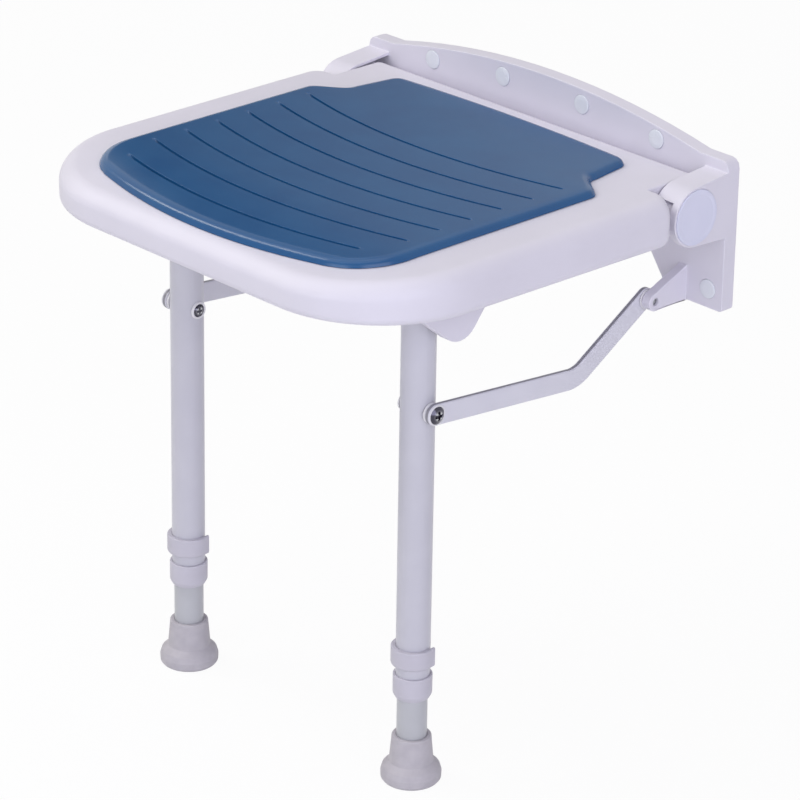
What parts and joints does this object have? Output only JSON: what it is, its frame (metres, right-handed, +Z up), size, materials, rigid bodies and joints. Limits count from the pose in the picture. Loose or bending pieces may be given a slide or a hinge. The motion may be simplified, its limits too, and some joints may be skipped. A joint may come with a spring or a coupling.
{
  "type": "folding shower seat",
  "caption": "Wall-mounted fold-up shower seat: arched bracket, moulded seat with soft grooved pad, and drop legs kept upright by cranked links, with telescopic feet.",
  "frame": {"origin": "middle of the wall plate's back face, at the height of the seat's hinge axis", "axes": "+X to the right seen from the front, +Y into the wall, +Z up"},
  "size_m": [0.436, 0.416, 0.5155],
  "materials": {
    "white_plastic": "satin moulded",
    "cap_plastic": "gloss moulded",
    "blue_pad": "satin skin on soft foam",
    "white_tube": "satin powder coat",
    "chrome": "polished",
    "steel": "zinc plated",
    "nylon": "plain moulded",
    "pale_rubber": "matt moulded"
  },
  "bodies": {
    "wall_bracket": {"wall_bracket": "white_plastic", "screw_cap_1": "cap_plastic", "screw_cap_2": "cap_plastic", "screw_cap_3": "cap_plastic", "screw_cap_4": "cap_plastic", "screw_cap_5": "cap_plastic", "screw_cap_6": "cap_plastic", "hinge_cap_left": "white_plastic", "hinge_cap_right": "white_plastic", "hinge_pin_left": "steel", "hinge_pin_right": "steel", "link_wall_pin_left": "steel", "link_wall_pin_right": "steel", "link_wall_washer_left": "nylon", "link_wall_washer_right": "nylon"},
    "seat": {"seat_shell": "white_plastic", "seat_underframe": "white_plastic", "seat_pad": "blue_pad", "frame_screw_1": "steel", "frame_screw_2": "steel", "frame_screw_3": "steel", "frame_screw_4": "steel", "frame_screw_5": "steel", "frame_screw_6": "steel", "hinge_bush_left": "nylon", "hinge_bush_right": "nylon", "leg_pivot_pin_left": "steel", "leg_pivot_pin_right": "steel"},
    "leg_left": {"leg_tube_left": "white_tube", "leg_plug_left": "nylon", "leg_spacer_inner_left": "nylon", "leg_spacer_outer_left": "nylon", "link_bolt_left": "chrome", "link_nut_left": "chrome", "link_leg_washer_left": "nylon", "leg_collar_left": "white_plastic"},
    "link_left": {"link_arm_left": "white_tube"},
    "lower_leg_left": {"leg_inner_tube_left": "white_tube", "inner_tube_plug_left": "nylon", "rubber_foot_left": "pale_rubber", "foot_washer_left": "steel"},
    "clip_left": {"lock_clip_left": "white_plastic"},
    "leg_right": {"leg_tube_right": "white_tube", "leg_plug_right": "nylon", "leg_spacer_inner_right": "nylon", "leg_spacer_outer_right": "nylon", "link_bolt_right": "chrome", "link_nut_right": "chrome", "link_leg_washer_right": "nylon", "leg_collar_right": "white_plastic"},
    "link_right": {"link_arm_right": "white_tube"},
    "lower_leg_right": {"leg_inner_tube_right": "white_tube", "inner_tube_plug_right": "nylon", "rubber_foot_right": "pale_rubber", "foot_washer_right": "steel"},
    "clip_right": {"lock_clip_right": "white_plastic"}
  },
  "joints": [
    {"name": "seat_fold", "type": "hinge", "parent": "wall_bracket", "child": "seat", "pos_m": [0, -0.05, 0], "axis": [-1, 0, 0], "range_deg": [0, 90]},
    {"name": "leg_fold_left", "type": "hinge", "parent": "seat", "child": "leg_left", "pos_m": [-0.1405, -0.289, -0.035], "axis": [-1, 0, 0], "range_deg": [-90, 0]},
    {"name": "link_swing_left", "type": "hinge", "parent": "wall_bracket", "child": "link_left", "pos_m": [-0.16, -0.05, -0.0865], "axis": [-1, 0, 0], "range_deg": [0, 90]},
    {"name": "leg_extend_left", "type": "slide", "parent": "leg_left", "child": "lower_leg_left", "axis": [0, 0, -1], "range_m": [0, 0.075]},
    {"name": "clip_pull_left", "type": "slide", "parent": "leg_left", "child": "clip_left", "axis": [0, -1, 0], "range_m": [0, 0.03]},
    {"name": "leg_fold_right", "type": "hinge", "parent": "seat", "child": "leg_right", "pos_m": [0.1405, -0.289, -0.035], "axis": [-1, 0, 0], "range_deg": [-90, 0]},
    {"name": "link_swing_right", "type": "hinge", "parent": "wall_bracket", "child": "link_right", "pos_m": [0.16, -0.05, -0.0865], "axis": [-1, 0, 0], "range_deg": [0, 90]},
    {"name": "leg_extend_right", "type": "slide", "parent": "leg_right", "child": "lower_leg_right", "axis": [0, 0, -1], "range_m": [0, 0.075]},
    {"name": "clip_pull_right", "type": "slide", "parent": "leg_right", "child": "clip_right", "axis": [0, -1, 0], "range_m": [0, 0.03]}
  ],
  "couplings": [
    {"joint": "leg_fold_left", "follows": "seat_fold", "ratio": -1},
    {"joint": "link_swing_left", "follows": "seat_fold", "ratio": 1},
    {"joint": "leg_fold_right", "follows": "seat_fold", "ratio": -1},
    {"joint": "link_swing_right", "follows": "seat_fold", "ratio": 1}
  ]
}
